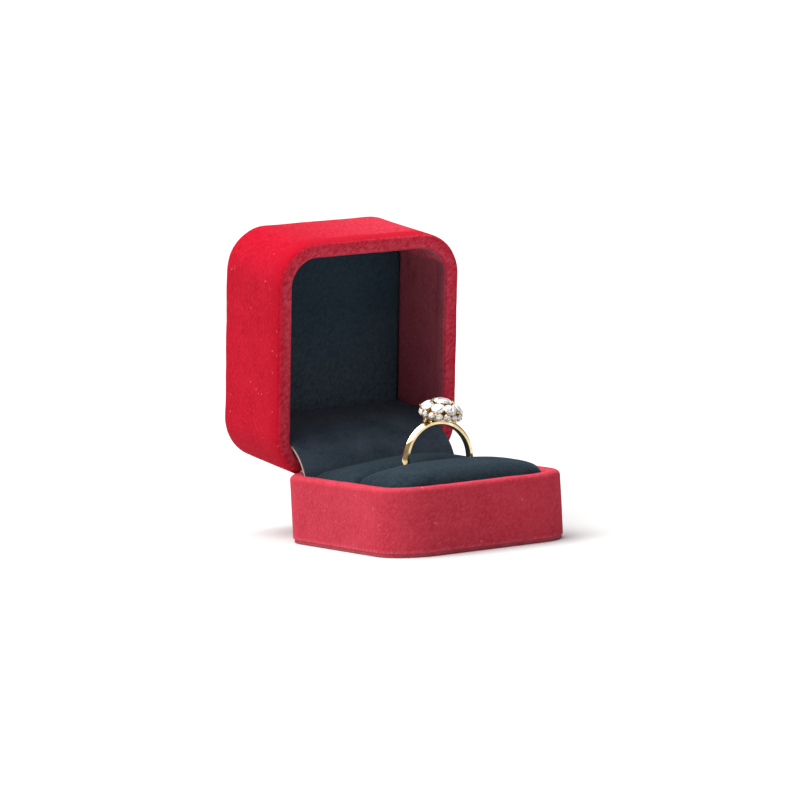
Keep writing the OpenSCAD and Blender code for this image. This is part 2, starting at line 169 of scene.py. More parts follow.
redLook = {
    "deep": (0.38, 0.001, 0.010), "lit": (0.435, 0.003, 0.017), "tip": (0.475, 0.010, 0.030),
    "paintedLightAndWornColour": (0.70, 0.11, 0.165), "brushScale": 170.0, "streakScale": 1500.0, "pileScale": 4200.0,
    "lay": (0.5, 0.7, 0.3), "stretch": 1.8, "grain": 0.14, "lintScale": 330.0, "lintSize": 0.10,
    "lintBend": 0.003, "bendScale": 900.0, "lintShare": 0.6, "lintStrength": 0.5, "lint": (0.74, 0.24, 0.30),
    "rough": 0.9, "gloss": 0.02, "sheen": 0.05, "sheenRough": 0.5, "sheenTint": (1.0, 0.5, 0.62), "bump": 0.6,
}
lidRed = velvet("lidRedVelvet", redLook)
# the base's copy is pinker than the lid's: painted light, the haze the floor's light throws on the base
baseRed = velvet("baseRedVelvet", {**redLook, "deep": (0.41, 0.024, 0.042), "lit": (0.465, 0.036, 0.058),
                                   "tip": (0.50, 0.050, 0.076), "grain": 0.18})
liningRed = velvet("liningVelvet", {
    **redLook, "deep": (0.27, 0.050, 0.072), "lit": (0.34, 0.072, 0.098), "tip": (0.38, 0.090, 0.118),
    "paintedLightAndWornColour": (0.85, 0.05, 0.08), "lint": (0.7, 0.4, 0.45), "lintShare": 0.85, "sheen": 0.03})
blackLook = {
    **redLook, "deep": (0.012, 0.020, 0.028), "lit": (0.017, 0.027, 0.037), "tip": (0.023, 0.034, 0.045),
    "paintedLightAndWornColour": (0.09, 0.11, 0.135), "grain": 0.2, "lintScale": 300.0, "lintSize": 0.08, "lintShare": 0.8,
    "lintStrength": 0.35, "lint": (0.16, 0.17, 0.20),
    "sheen": 0.10, "sheenRough": 0.35, "sheenTint": (0.65, 0.82, 1.0),
}
panelBlack = velvet("panelVelvet", {
    **blackLook, "deep": (0.018, 0.036, 0.052), "lit": (0.023, 0.044, 0.062), "tip": (0.030, 0.052, 0.070),
    "sheen": 0.02})
# a lighter copy of the black velvet: painted light on the cover
coverBlack = velvet("coverVelvet", {
    **blackLook, "deep": (0.028, 0.040, 0.056), "lit": (0.054, 0.073, 0.097), "tip": (0.046, 0.062, 0.082),
    "paintedLightAndWornColour": (0.12, 0.15, 0.18)})
cushionBlack = velvet("cushionVelvet", {
    **blackLook, "deep": (0.013, 0.022, 0.030), "lit": (0.019, 0.030, 0.040), "tip": (0.026, 0.038, 0.049),
    "lintShare": 0.6, "lintStrength": 0.4})


def woven(name, look):
    material, tree, shader = nodeTree(name)
    place = addNode(tree, "ShaderNodeTexCoord").outputs["Object"]
    parts = addNode(tree, "ShaderNodeSeparateXYZ", {"Vector": place})
    threads = []
    for axis in ("X", "Y"):
        swing = maths(tree, "SINE", maths(tree, "MULTIPLY", parts.outputs[axis], look["threads"]))
        threads.append(maths(tree, "ABSOLUTE", swing))
    weave = maths(tree, "MULTIPLY", threads[0], threads[1])
    uneven = noiseOf(tree, place, look["noise"], 4.0, 0.6)
    colour = mixColour(tree, ramp(tree, weave, 0.0, 0.8), look["low"], look["high"])
    colour = mixColour(tree, ramp(tree, uneven, 0.4, 0.7, 0.0, 0.5), colour, look["paintedLightAndWornColour"])
    tree.links.new(colour, shader.inputs["Base Color"])
    tree.links.new(ramp(tree, uneven, 0.3, 0.7, 0.7, 0.92), shader.inputs["Roughness"])
    bump = addNode(tree, "ShaderNodeBump", {"Strength": 0.6, "Distance": 0.0001,
                                            "Height": maths(tree, "ADD", weave, uneven)})
    tree.links.new(bump.outputs["Normal"], shader.inputs["Normal"])
    return material


bottomCloth = woven("bottomCloth", {"threads": 9000.0, "noise": 300.0, "low": (0.38, 0.022, 0.04),
                                    "high": (0.48, 0.04, 0.06), "paintedLightAndWornColour": (0.52, 0.12, 0.15)})


def card(name, look):
    material, tree, shader = nodeTree(name)
    place = addNode(tree, "ShaderNodeTexCoord").outputs["Object"]
    broad = noiseOf(tree, place, 180.0, 4.0, 0.6)
    drawn = addNode(tree, "ShaderNodeMapping", {"Vector": place, "Scale": (1.0, 3.0, 3.0)}).outputs[0]
    fibre = noiseOf(tree, drawn, 1400.0, 4.0, 0.7)
    colour = mixColour(tree, ramp(tree, broad, 0.3, 0.7), look["low"], look["high"])
    colour = mixColour(tree, ramp(tree, fibre, 0.55, 0.75, 0.0, 0.6), colour, look["fibre"])
    tree.links.new(colour, shader.inputs["Base Color"])
    tree.links.new(ramp(tree, fibre, 0.3, 0.7, look["rough"] - 0.08, look["rough"] + 0.06),
                   shader.inputs["Roughness"])
    bump = addNode(tree, "ShaderNodeBump", {"Strength": look["bump"], "Distance": 0.0001, "Height": fibre})
    tree.links.new(bump.outputs["Normal"], shader.inputs["Normal"])
    return material


coverCard = card("coverCard", {"low": (0.42, 0.35, 0.32), "high": (0.60, 0.52, 0.48),
                               "fibre": (0.30, 0.22, 0.20), "rough": 0.85, "bump": 0.6})
greyBoard = card("greyBoard", {"low": (0.3, 0.27, 0.22), "high": (0.42, 0.37, 0.3),
                               "fibre": (0.2, 0.17, 0.13), "rough": 0.9, "bump": 0.7})
moulding = card("moulding", {"low": (0.05, 0.05, 0.055), "high": (0.075, 0.075, 0.08),
                             "fibre": (0.1, 0.1, 0.1), "rough": 0.6, "bump": 0.25})


def metal(name, look):
    material, tree, shader = nodeTree(name)
    place = addNode(tree, "ShaderNodeTexCoord").outputs["Object"]
    stretch = addNode(tree, "ShaderNodeMapping", {"Vector": place, "Scale": look["grain"]}).outputs[0]
    brushed = noiseOf(tree, stretch, look["scale"], 4.0, 0.65)
    patch = noiseOf(tree, place, look["patchScale"], 3.0, 0.5)
    colour = mixColour(tree, ramp(tree, patch, 0.35, 0.7), look["low"], look["high"])
    tree.links.new(colour, shader.inputs["Base Color"])
    shader.inputs["Metallic"].default_value = 1.0
    tree.links.new(ramp(tree, brushed, 0.3, 0.7, look["rough"], look["rough"] + look["roughSpread"]),
                   shader.inputs["Roughness"])
    bump = addNode(tree, "ShaderNodeBump", {"Strength": look["bump"], "Distance": 0.00003, "Height": brushed})
    tree.links.new(bump.outputs["Normal"], shader.inputs["Normal"])
    return material


hingeSteel = metal("hingeSteel", {"grain": (1.0, 8.0, 8.0), "scale": 900.0, "patchScale": 250.0,
                                  "low": (0.42, 0.41, 0.39), "high": (0.62, 0.61, 0.58),
                                  "rough": 0.24, "roughSpread": 0.2, "bump": 0.5})
springSteel = metal("springSteel", {"grain": (6.0, 1.0, 1.0), "scale": 900.0, "patchScale": 300.0,
                                    "low": (0.24, 0.27, 0.34), "high": (0.45, 0.47, 0.52),
                                    "rough": 0.2, "roughSpread": 0.15, "bump": 0.3})
gold = metal("gold", {"grain": (1.0, 1.0, 1.0), "scale": 700.0, "patchScale": 420.0,
                      "low": (0.62, 0.44, 0.2), "high": (0.92, 0.78, 0.52),
                      "rough": 0.06, "roughSpread": 0.08, "bump": 0.15})


def crystal(name, look):
    material, tree, shader = nodeTree(name)
    # painted reflections: each facet gets a random grey-to-white colour in place of the light the stone would
    # reflect
    paintedFacetGlint = addNode(tree, "ShaderNodeAttribute", attribute_name="paintedFacetGlint").outputs["Fac"]
    colour = mixColour(tree, ramp(tree, paintedFacetGlint, 0.2, 0.5), look["shade"], look["bright"])
    tree.links.new(colour, shader.inputs["Base Color"])
    shader.inputs["Roughness"].default_value = 0.03
    shader.inputs["IOR"].default_value = 2.2
    shader.inputs["Transmission Weight"].default_value = look["clear"]
    return material


clearStone = crystal("clearStone", {"shade": (0.30, 0.31, 0.35), "bright": (1.0, 1.0, 1.0), "clear": 0.08})
print("materials made")


softAngle = math.radians(35)


def finishPiece(name, bm, body, materials, stands=(), smooth=softAngle):
    # millimetres to metres, material, smoothing and body
    bmesh.ops.scale(bm, vec=(mm, mm, mm), verts=bm.verts)
    mesh = bpy.data.meshes.new(name)
    bm.to_mesh(mesh)
    bm.free()
    for material in materials:
        mesh.materials.append(material)
    piece = bpy.data.objects.new(name, mesh)
    bpy.context.scene.collection.objects.link(piece)
    if smooth is None:
        mesh.shade_flat()
    else:
        mesh.shade_smooth()
        mesh.set_sharp_from_angle(angle=smooth)
    if body:
        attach(piece, body)
    if stands:
        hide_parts(*stands)
    return piece


def arc(centreX, centreZ, radius, start, end, steps):
    turns = [math.radians(start + (end - start) * i / steps) for i in range(steps + 1)]
    return [(centreX + radius * math.cos(a), centreZ + radius * math.sin(a)) for a in turns]


def sweepRound(bm, section, closed=True):
    # carries a section of (inset, height) points once round the box's rounded outline
    width, depth, radius = boxWidth, boxDepth, shape["corner"]
    verts = [bm.verts.new((width / 2 - x, radius - depth / 2, z)) for x, z in section]
    pairs = zip(verts, verts[1:] + verts[:1]) if closed else zip(verts, verts[1:])
    geom = verts + [bm.edges.new(pair) for pair in pairs]
    for turn in range(4):
        quarter = Matrix.Rotation(math.pi / 2 * turn, 3, "Z")
        length = (depth if turn % 2 == 0 else width) - 2 * radius
        steps = shape["sideSteps"]
        geom = bmesh.ops.spin(bm, geom=geom, cent=(0, 0, 0), axis=(0, 0, 1), angle=0, steps=steps,
                              dvec=quarter @ Vector((0, length / steps, 0)), use_merge=False)["geom_last"]
        centre = Vector((width / 2 - radius, depth / 2 - radius, 0))
        if turn % 2:
            centre.x, centre.y = depth / 2 - radius, width / 2 - radius
        geom = bmesh.ops.spin(bm, geom=geom, cent=quarter @ centre, axis=(0, 0, 1), angle=math.pi / 2,
                              steps=shape["cornerSteps"], dvec=(0, 0, 0), use_merge=False)["geom_last"]
    bmesh.ops.remove_doubles(bm, verts=bm.verts, dist=0.002)


def placeOf(v):
    return tuple(v.co)


def closeHoles(bm, cell):
    # caps the open ends with cells of about this size, and clears the slivers that the cuts leave
    rims = [e for e in bm.edges if len(e.link_faces) == 1]
    levels = {round(v.co.z, 3) for e in rims for v in e.verts}
    made = bmesh.ops.holes_fill(bm, edges=rims, sides=0)["faces"]
    for axis, reach in (((1, 0, 0), boxWidth / 2), ((0, 1, 0), boxDepth / 2)):
        at = cell - reach
        while at < reach:
            faces = [f for f in bm.faces if len(f.verts) > 4 and abs(f.normal.z) > 0.99 or f in made]
            geom = faces + [e for f in faces for e in f.edges] + [v for f in faces for v in f.verts]
            geom = list(dict.fromkeys(geom))
            bmesh.ops.bisect_plane(bm, geom=geom, dist=1e-4, plane_co=Vector(axis) * at, plane_no=axis)
            at += cell
            made = []
    # the cuts make points in any order, so both lists are sorted by place
    flat = sorted((v for v in bm.verts if any(abs(v.co.z - level) < 0.002 for level in levels)), key=placeOf)
    bmesh.ops.remove_doubles(bm, verts=flat, dist=cell * 0.15)
    edges = {e for v in flat if v.is_valid for e in v.link_edges}
    edges = sorted(edges, key=lambda e: sorted(map(placeOf, e.verts)))
    bmesh.ops.dissolve_degenerate(bm, dist=0.1, edges=edges)
    bmesh.ops.triangulate(bm, faces=[f for f in bm.faces if len(f.verts) > 4], ngon_method="BEAUTY")
    bmesh.ops.recalc_face_normals(bm, faces=bm.faces)


def roughen(bm, size, scale, seed):
    # a hand-glued cloth's slight unevenness
    bm.normal_update()
    moves = {}
    for v in bm.verts:
        p = v.co / scale + Vector((seed * 7.3, seed * 3.1, seed))
        moves[v] = v.normal * (size * noise.noise(p) + size * 0.5 * noise.noise(p * 2.7))
    for v, move in moves.items():
        v.co += move


def insetOf(co):
    # how far inside the rounded outline a point is
    r = shape["corner"]
    over = Vector((abs(co.x) - boxWidth / 2 + r, abs(co.y) - boxDepth / 2 + r))
    outside = Vector((max(over.x, 0.0), max(over.y, 0.0))).length
    return r - outside - min(max(over.x, over.y), 0.0)


def bumpAt(value, middle, reach):
    # 1 at the middle, falling to 0 at its reach
    return max(0.0, 1.0 - abs(value - middle) / reach)


brushed = {
    "flat": 0.5, "flatAt": 2.2, "flatReach": 2.4,      # painted light over the flat of the rim
    "inner": 0.2, "innerReach": 0.6,                   # and a painted highlight along its inner edge
    "shade": 0.8, "shadeReach": 0.9,                   # painted shade: dark line round the outside, just off the rim
    "outside": 0.6, "rimDeep": 0.9, "liningFrom": 0.75,
}


def paintRimLightAndShade(bm, rim, up):
    # painted light over the rim and a painted highlight along its inner edge, painted shade just outside it,
    # and the inside faces get the lining red
    b, wall = brushed, shape["wall"]
    nap = bm.verts.layers.float.new("nap")
    for v in bm.verts:
        inset = insetOf(v.co)
        past = (rim - v.co.z) * up
        if past < b["rimDeep"]:
            v[nap] = b["flat"] * bumpAt(inset, b["flatAt"], b["flatReach"])
            v[nap] += b["inner"] * bumpAt(inset, wall - b["innerReach"], b["innerReach"])
        if inset < b["outside"]:
            v[nap] -= b["shade"] * bumpAt(past, shape["rim"] + 0.2, b["shadeReach"])
    for f in bm.faces:
        centre = f.calc_center_median()
        past = (rim - centre.z) * up
        if insetOf(centre) > wall - 0.7 and b["liningFrom"] < past < base["hem"] + 0.6:
            f.material_index = 1
    return nap


def cutAway(piece, low, high):
    # cuts a box out of a piece; its corners are in millimetres
    low, high = Vector(low) * mm, Vector(high) * mm
    bm = bmesh.new()
    bmesh.ops.create_cube(bm, size=1.0)
    bmesh.ops.scale(bm, vec=high - low, verts=bm.verts)
    bmesh.ops.translate(bm, vec=(high + low) / 2, verts=bm.verts)
    mesh = bpy.data.meshes.new("cutter")
    bm.to_mesh(mesh)
    bm.free()
    cutter = bpy.data.objects.new("cutter", mesh)
    bpy.context.scene.collection.objects.link(cutter)
    changer = piece.modifiers.new("relief", "BOOLEAN")
    changer.operation, changer.solver, changer.object = "DIFFERENCE", "EXACT", cutter
    applyAll(piece)
    bpy.data.objects.remove(cutter)


def applyAll(piece):
    graph = bpy.context.evaluated_depsgraph_get()
    made = bpy.data.meshes.new_from_object(piece.evaluated_get(graph), preserve_all_data_layers=True,
                                           depsgraph=graph)
    piece.modifiers.clear()
    old = piece.data
    piece.data = made
    made.name = old.name


base = {"skin": 1.6, "hem": 5.0, "seam": 1.1, "lip": 0.35, "clothRound": 0.35}
relief = {"height": 2.3, "steps": ((19.4, 25.3), (21.96, hingeAt.y - 0.15))}  # half length, front


def rimSection(top, up, far):
    # rounded rim between the outside face (inset 0) and the inside face, from far up over the rim to the hem
    r, t, s = shape["rim"], shape["wall"], base["skin"]
    outer = arc(r, top - up * r, r, 180, 180 - 90 * up, 6)
    inner = arc(t - r, top - up * r, r, 90 * up, 0, 6)
    count = 5
    side = [(0, far), (0, far + up * 0.4), (0, far + up * 0.9)]
    side += [(0, far + (top - up * r - far) * i / count) for i in range(1, count)]
    drop = top - up * base["hem"]
    return side + outer + inner + [(t, drop + up * 0.3), (t - 0.15, drop), (s, drop)]


def makeBaseVelvet():
    bm = bmesh.new()
    section = rimSection(baseTop, 1, base["seam"])
    section += [(base["skin"], base["seam"] + 0.2), (base["skin"] - 0.2, base["seam"])]
    sweepRound(bm, section)
    bmesh.ops.recalc_face_normals(bm, faces=bm.faces)
    nap = paintRimLightAndShade(bm, baseTop, 1)
    # keeps less of the rim's painted light and shade, and adds a pale line of frayed pile along the bottom
    # seam
    for v in bm.verts:
        v[nap] = 0.4 * v[nap] + 0.6 * bumpAt(v.co.z, base["seam"] + 0.1, 0.5) * (insetOf(v.co) < 1.0)
    roughen(bm, 0.08, 6.0, 1)
    for v in bm.verts:
        if v.co.z < base["seam"] + 0.15:
            v.co.z = base["seam"]
    baseVelvet = finishPiece("baseVelvet", bm, None, [baseRed, liningRed])
    for half, front in relief["steps"]:
        cutAway(baseVelvet, (-half, front, hingeAt.z - relief["height"]), (half, 40.0, 30.0))
    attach(baseVelvet, "base")
    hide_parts("base_velvet")


makeBaseVelvet()


def makeBottom():
    bm = bmesh.new()
    lip, r = base["lip"], base["clothRound"]
    section = [(lip, base["seam"])] + arc(lip + r, r, r, 180, 270, 4) + [(4.0, 0.0)]
    sweepRound(bm, section, closed=False)
    closeHoles(bm, 4.0)
    finishPiece("bottomCover", bm, "base", [bottomCloth], ["bottom_cloth"])


makeBottom()
print("base made")

pucker = {
    "centre": (15.0, -19.0), "peak": 30.0, "steep": 7.0, "far": 100.0,  # turns of its crest and its ends
    "end": 38.3, "fadeIn": 1.2, "fadeOut": 7.0,                         # how it starts and stops up the wall
    # the last value paints the fold's ridge lighter, a painted highlight
    "height": 1.1, "uneven": 0.3, "nap": 0.3,
}


def puckerAt(co):
    # a loose fold of cloth in one corner, running in from the rim: how high it stands, and which way
    p = pucker
    away = Vector((co.x - p["centre"][0], co.y - p["centre"][1]))
    turn = math.degrees(math.atan2(-away.y, away.x))
    if away.length < 1 or not p["peak"] - p["steep"] < turn < p["far"]:
        return 0.0, Vector()
    if turn < p["peak"]:
        rise = (turn - p["peak"] + p["steep"]) / p["steep"]
    else:
        rise = (p["far"] - turn) / (p["far"] - p["peak"])
    rise *= max(0.0, min(1.0, (p["end"] - co.z) / p["fadeOut"], (co.z - lidLow - 0.9) / p["fadeIn"]))
    rise *= 1.0 + p["uneven"] * noise.noise(co / 2.5)
    return rise, Vector((-away.x, -away.y, 0)).normalized()


frontPaintedLight = {"middle": 0.16, "toRight": 0.008}  # painted light on the lid's front wall, which is the top when open, lighter towards the right


def openPiece(piece):
    # from the shut lid's place to the open one
    piece.data.transform(Matrix.Scale(mm, 4) @ openLid @ Matrix.Scale(1 / mm, 4))


def makeLidVelvet():
    bm = bmesh.new()
    section = rimSection(lidLow, -1, lidHigh - shape["lidTop"])
    r = shape["lidTop"]
    top = [(6.0, lidHigh)] + arc(r, lidHigh - r, r, 90, 180, 6)
    section = top + section[1:] + [(base["skin"], lidHigh - base["skin"])]
    sweepRound(bm, section, closed=False)
    bmesh.ops.recalc_face_normals(bm, faces=bm.faces)
    closeHoles(bm, 2.5)
    nap = paintRimLightAndShade(bm, lidLow, -1)
    # painted light over the front wall, the open lid's top
    for v in bm.verts:
        onFront = bumpAt(v.co.y, -boxDepth / 2, 9.0) * (insetOf(v.co) < brushed["outside"])
        v[nap] += onFront * max(0.0, frontPaintedLight["middle"] + frontPaintedLight["toRight"] * v.co.x)
    roughen(bm, 0.10, 7.0, 2)
    for v in bm.verts:
        rise, way = puckerAt(v.co)
        if insetOf(v.co) > shape["wall"] - 0.5 and v.co.z < lidLow + base["hem"] + 0.5:
            v.co += way * rise * pucker["height"]
            # painted highlight on the fold's ridge
            v[nap] += rise * pucker["nap"]
    lidVelvet = finishPiece("lidVelvet", bm, None, [lidRed, liningRed])
    for half, front in relief["steps"]:
        cutAway(lidVelvet, (-half, front, 10.0), (half, 40.0, hingeAt.z + relief["height"]))
    openPiece(lidVelvet)
    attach(lidVelvet, "lid")
    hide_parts("lid_velvet")


makeLidVelvet()

lining = {
    "inset": 3.4, "thick": 0.38, "rows": 26,
    "wrinkle": 0.192, "calm": 0.35, "slack": 1.1,  # height, and how much of it in the walls and the corners
    "openHalf": 16.0, "openUp": 12.0,              # cut for the hinge
}


def makeLining():
    bm = bmesh.new()
    low, high = lidLow + base["hem"] - 0.3, lidHigh - 2.5
    outer, inner = lining["inset"], lining["inset"] + lining["thick"]
    rows = [low + (high - low) * i / lining["rows"] for i in range(lining["rows"] + 1)]
    section = [(inner, z) for z in rows] + [(outer, z) for z in reversed(rows)]
    sweepRound(bm, section)
    bmesh.ops.recalc_face_normals(bm, faces=bm.faces)
    bm.normal_update()
    nap = bm.verts.layers.float.new("nap")
    moves = {}
    for v in bm.verts:
        if abs(abs(v.co.x) + lining["inset"] - boxWidth / 2) < 0.01 or v.normal.length < 0.5:
            continue
        p = v.co / 3.2
        corner = max(0.0, min(1.0, (abs(v.co.x) - 10) / 10)) * (v.co.y < -14)
        size = lining["wrinkle"] * (lining["calm"] + lining["slack"] * corner)
        fold = noise.noise(Vector((p.x * 0.8 + p.z * 0.9, p.y * 0.8 - p.z * 0.5, p.z * 0.35)))
        moves[v] = v.normal * size * abs(fold)
    for v in bm.verts:
        rise, way = puckerAt(v.co)
        if insetOf(v.co) > inner - 0.1:
            # painted highlight on the fold's ridge
            v[nap] = rise * pucker["nap"]
            moves[v] = moves.get(v, Vector()) + way * rise * pucker["height"]
    for v, move in moves.items():
        v.co += move
    lidLining = finishPiece("lidLining", bm, None, [liningRed])
    half = lining["openHalf"]
    cutAway(lidLining, (-half, 24.0, 10.0), (half, 40.0, hingeAt.z + lining["openUp"]))
    openPiece(lidLining)
    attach(lidLining, "lid")
    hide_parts("lid_strip")


makeLining()

panel = {
    "depth": 7.4, "board": 2.5, "gap": 0.15, "round": 1.3, "puff": 0.55, "soft": 3.5, "uneven": 0.12,
    # painted light over the pad, growing towards the hinge, and painted shade down its sides
    "paintedLightAndLint": 0.05, "paintedLightToHinge": 0.02, "edgeShade": 1.3,
}


def makePanel():
    bm = bmesh.new()
    face, top = lidHigh - panel["depth"], lidHigh - panel["board"]
    side = shape["wall"] + panel["gap"]
    r = panel["round"]
    section = [(side + 4.0, top), (side, top), (side, face + r + 1.0)]
    section += arc(side + r, face + r, r, 180, 270, 6) + [(side + 2.2, face), (side + 3.4, face)]
    sweepRound(bm, section, closed=False)
    closeHoles(bm, 2.0)
    nap = bm.verts.layers.float.new("nap")
    for v in bm.verts:
        # painted light, more towards the hinge, and painted shade on the pad's sides
        v[nap] = panel["paintedLightAndLint"] + panel["paintedLightToHinge"] * max(0.0, v.co.y + 8.0)
        v[nap] -= panel["edgeShade"] * min(1.0, max(0.0, (v.co.z - face) / 0.6))
        if v.co.z < face + r:
            away = min(boxWidth / 2 - side - abs(v.co.x), boxDepth / 2 - side - abs(v.co.y))
            swell = 1 - math.exp(-max(away, 0) / panel["soft"])
            wobble = panel["uneven"] * noise.noise(v.co / 9.0)
            v.co.z -= panel["puff"] * (swell - 0.75) + wobble * swell
    bmesh.ops.transform(bm, matrix=openLid, verts=bm.verts)
    piece = finishPiece("panelPad", bm, "lid", [panelBlack], ["panel_velvet", "panel_foam"])


makePanel()
print("lid made")

cushion = {
    "halfWidth": 21.95, "front": -26.0, "back": 19.9, "slot": -2.95, "slotHalf": 1.45,
    "bottom": 4.0, "edge": {-1: 17.6, 1: 16.4}, "crest": {-1: 20.3, 1: 20.0}, "fall": {-1: 2.8, 1: 1.9},
    "peakAt": {-1: -1.0, 1: 3.5}, "peakAlong": {-1: 0.62, 1: 0.42}, "corner": {-1: 7.0, 1: 1.5},
    "topRound": 1.2, "voxel": 0.85, "pressure": 5.0, "cap": 0.7, "frames": 18, "bigger": 20.0,
}


def insideHalf(bm, side):
    # one half as a block with rounded front corners and softly rounded top edges
    c = cushion
    nearSlot, farEnd = c["slot"] + side * c["slotHalf"], c["back"] if side > 0 else c["front"]
    low, high = min(nearSlot, farEnd), max(nearSlot, farEnd)
    edge = c["edge"][side]
    bmesh.ops.create_cube(bm, size=1.0)
    bmesh.ops.scale(bm, vec=(2 * c["halfWidth"], high - low, edge - c["bottom"]), verts=bm.verts)
    bmesh.ops.translate(bm, vec=(0, (low + high) / 2, (edge + c["bottom"]) / 2), verts=bm.verts)
    far = [e for e in bm.edges if abs(e.verts[0].co.z - e.verts[1].co.z) > 1
           and abs(e.verts[0].co.y - farEnd) < 0.01]
    bmesh.ops.bevel(bm, geom=far, offset=c["corner"][side], segments=8, profile=0.5,
                    affect="EDGES", material=-1, clamp_overlap=True)
    top = [e for e in bm.edges if min(v.co.z for v in e.verts) > edge - 0.01]
    bmesh.ops.bevel(bm, geom=top, offset=c["topRound"], segments=4, profile=0.5, affect="EDGES", material=-1)
    for axis, reach in (((1, 0, 0), 22), ((0, 1, 0), 27)):
        for at in range(-reach, reach, 1):
            geom = list(bm.faces) + list(bm.edges) + list(bm.verts)
            bmesh.ops.bisect_plane(bm, geom=geom, dist=1e-4, plane_co=Vector(axis) * at, plane_no=axis)
    return low, high


def crownHalf(bm, side, low, high):
    # raises the top to its crest, which lies off the middle both ways
    c = cushion
    edge, peak = c["edge"][side], c["peakAlong"][side]
    for v in bm.verts:
        if v.co.z < edge - 2.0:
            continue
        reach = c["halfWidth"] + abs(c["peakAt"][side]) * (1 if v.co.x * side < 0 else -1)
        across = min(1.0, abs(v.co.x - c["peakAt"][side]) / reach)
        along = (v.co.y - low) / (high - low)
        bend = max(0.0, min(1.0, along / peak if along < peak else (1 - along) / (1 - peak)))
        rise = (c["crest"][side] - edge) * (1 - across ** c["fall"][side])
        rise *= 0.45 + 0.55 * math.sin(bend * math.pi / 2)
        lift = (v.co.z - (edge - 2.0)) / 2.0
        v.co.z += rise * lift


def makeCushion(name, side, stands):
    c = cushion
    bm = bmesh.new()
    low, high = insideHalf(bm, side)
    crownHalf(bm, side, low, high)
    bmesh.ops.scale(bm, vec=(c["bigger"],) * 3, verts=bm.verts)
    piece = finishPiece(name, bm, None, [cushionBlack])
    puffUp(piece)
    piece.data.transform(Matrix.Scale(1 / c["bigger"], 4))
    soften(piece)
    piece.data.shade_smooth()
    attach(piece, "base")
    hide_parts(*stands)


def puffUp(piece):
    # worked at twenty times its size, where the cloth solver is at home
    c = cushion
    big = c["bigger"] * mm
    remesh = piece.modifiers.new("remesh", "REMESH")
    remesh.mode, remesh.voxel_size = "VOXEL", c["voxel"] * big
    applyAll(piece)
    start = [v.co.copy() for v in piece.data.vertices]
    group = piece.vertex_groups.new(name="held")
    held = [v.index for v in piece.data.vertices if v.co.z < 12.5 * big]
    group.add(held, 1.0, "REPLACE")
    cloth = piece.modifiers.new("cloth", "CLOTH")
    cloth.settings.use_pressure = True
    cloth.settings.uniform_pressure_force = c["pressure"]
    cloth.settings.vertex_group_mass = "held"
    cloth.settings.quality = 5
    cloth.settings.tension_stiffness = 40
    cloth.settings.compression_stiffness = 40
    cloth.settings.bending_stiffness = 4
    cloth.settings.effector_weights.gravity = 0
    cloth.collision_settings.use_collision = False
    cloth.point_cache.frame_start, cloth.point_cache.frame_end = 1, c["frames"]
    scene = bpy.context.scene
    for number in range(1, c["frames"] + 1):
        scene.frame_set(number)
    applyAll(piece)
    most = c["cap"] * big
    for v, first in zip(piece.data.vertices, start):
        move = v.co - first
        if move.length > most:
            v.co = first + move * (most / move.length)
    scene.frame_set(1)


def soften(piece):
    # smooths the remeshed skin, and keeps it in the cushion's own space and out of the slot
    c = cushion
    bm = bmesh.new()
    bm.from_mesh(piece.data)
    bmesh.ops.scale(bm, vec=(1 / mm,) * 3, verts=bm.verts)
    for _ in range(3):
        bmesh.ops.smooth_vert(bm, verts=bm.verts, factor=0.5,
                              use_axis_x=True, use_axis_y=True, use_axis_z=True)
    bm.normal_update()
    nap = bm.verts.layers.float.new("nap")
    for v in bm.verts:
        # painted highlight along the slot's edges, on faces turned upwards
        v[nap] = 0.35 * bumpAt(abs(v.co.y - c["slot"]), c["slotHalf"] + 0.5, 0.9) * max(0.0, v.normal.z)
        v.co.x = max(-c["halfWidth"] - 0.15, min(c["halfWidth"] + 0.15, v.co.x))
        v.co.y = max(c["front"] - 0.12, min(c["back"] + 0.05, v.co.y))
        v.co.z = max(c["bottom"] - 0.05, v.co.z)
        if abs(v.co.y - c["slot"]) < c["slotHalf"] - 0.1 and v.co.z < 18.0:
            v.co.y = c["slot"] + math.copysign(c["slotHalf"] - 0.1, v.co.y - c["slot"])
    bmesh.ops.scale(bm, vec=(mm,) * 3, verts=bm.verts)
    bm.to_mesh(piece.data)
    bm.free()


makeCushion("cushionFront", -1, ["cushion_velvet_front", "cushion_foam_front"])
makeCushion("cushionBack", 1, ["cushion_velvet_back", "cushion_foam_back"])
print("cushion made")

cover = {
    "half": 21.75, "velvet": 0.5, "card": 0.5,
    "line": [(48.0, 30.1), (45.0, 29.7), (40.6, 29.2), (36.6, 28.3), (31.8, 26.5), (27.6, 24.3),
             (25.0, 22.5), (23.1, 20.5), (21.7, 18.2), (20.9, 15.5), (20.7, 12.0), (20.7, 9.0)],
    "start": (0, 20.5, 14.0), "end": (0, 44.0, 29.6),
    "lengthSteps": 40, "widthSteps": 30, "paintedLightAndLint": 0.55, "uneven": 0.12,
}


def coverLine():
    # the cover's line from lid to base, drawn smoothly through its points
    points = [Vector((0, y, z)) for y, z in cover["line"]]
    made = []
    spans, steps = len(points) - 1, cover["lengthSteps"]
    for i in range(steps + 1):
        at = i / steps * spans
        k = min(int(at), spans - 1)
        t = at - k
        a, b, c, d = (points[max(0, min(spans, j))] for j in (k - 1, k, k + 1, k + 2))
        made.append(0.5 * (2 * b + (c - a) * t + (2 * a - 5 * b + 4 * c - d) * t * t
                           + (3 * b - a - 3 * c + d) * t ** 3))
    return made


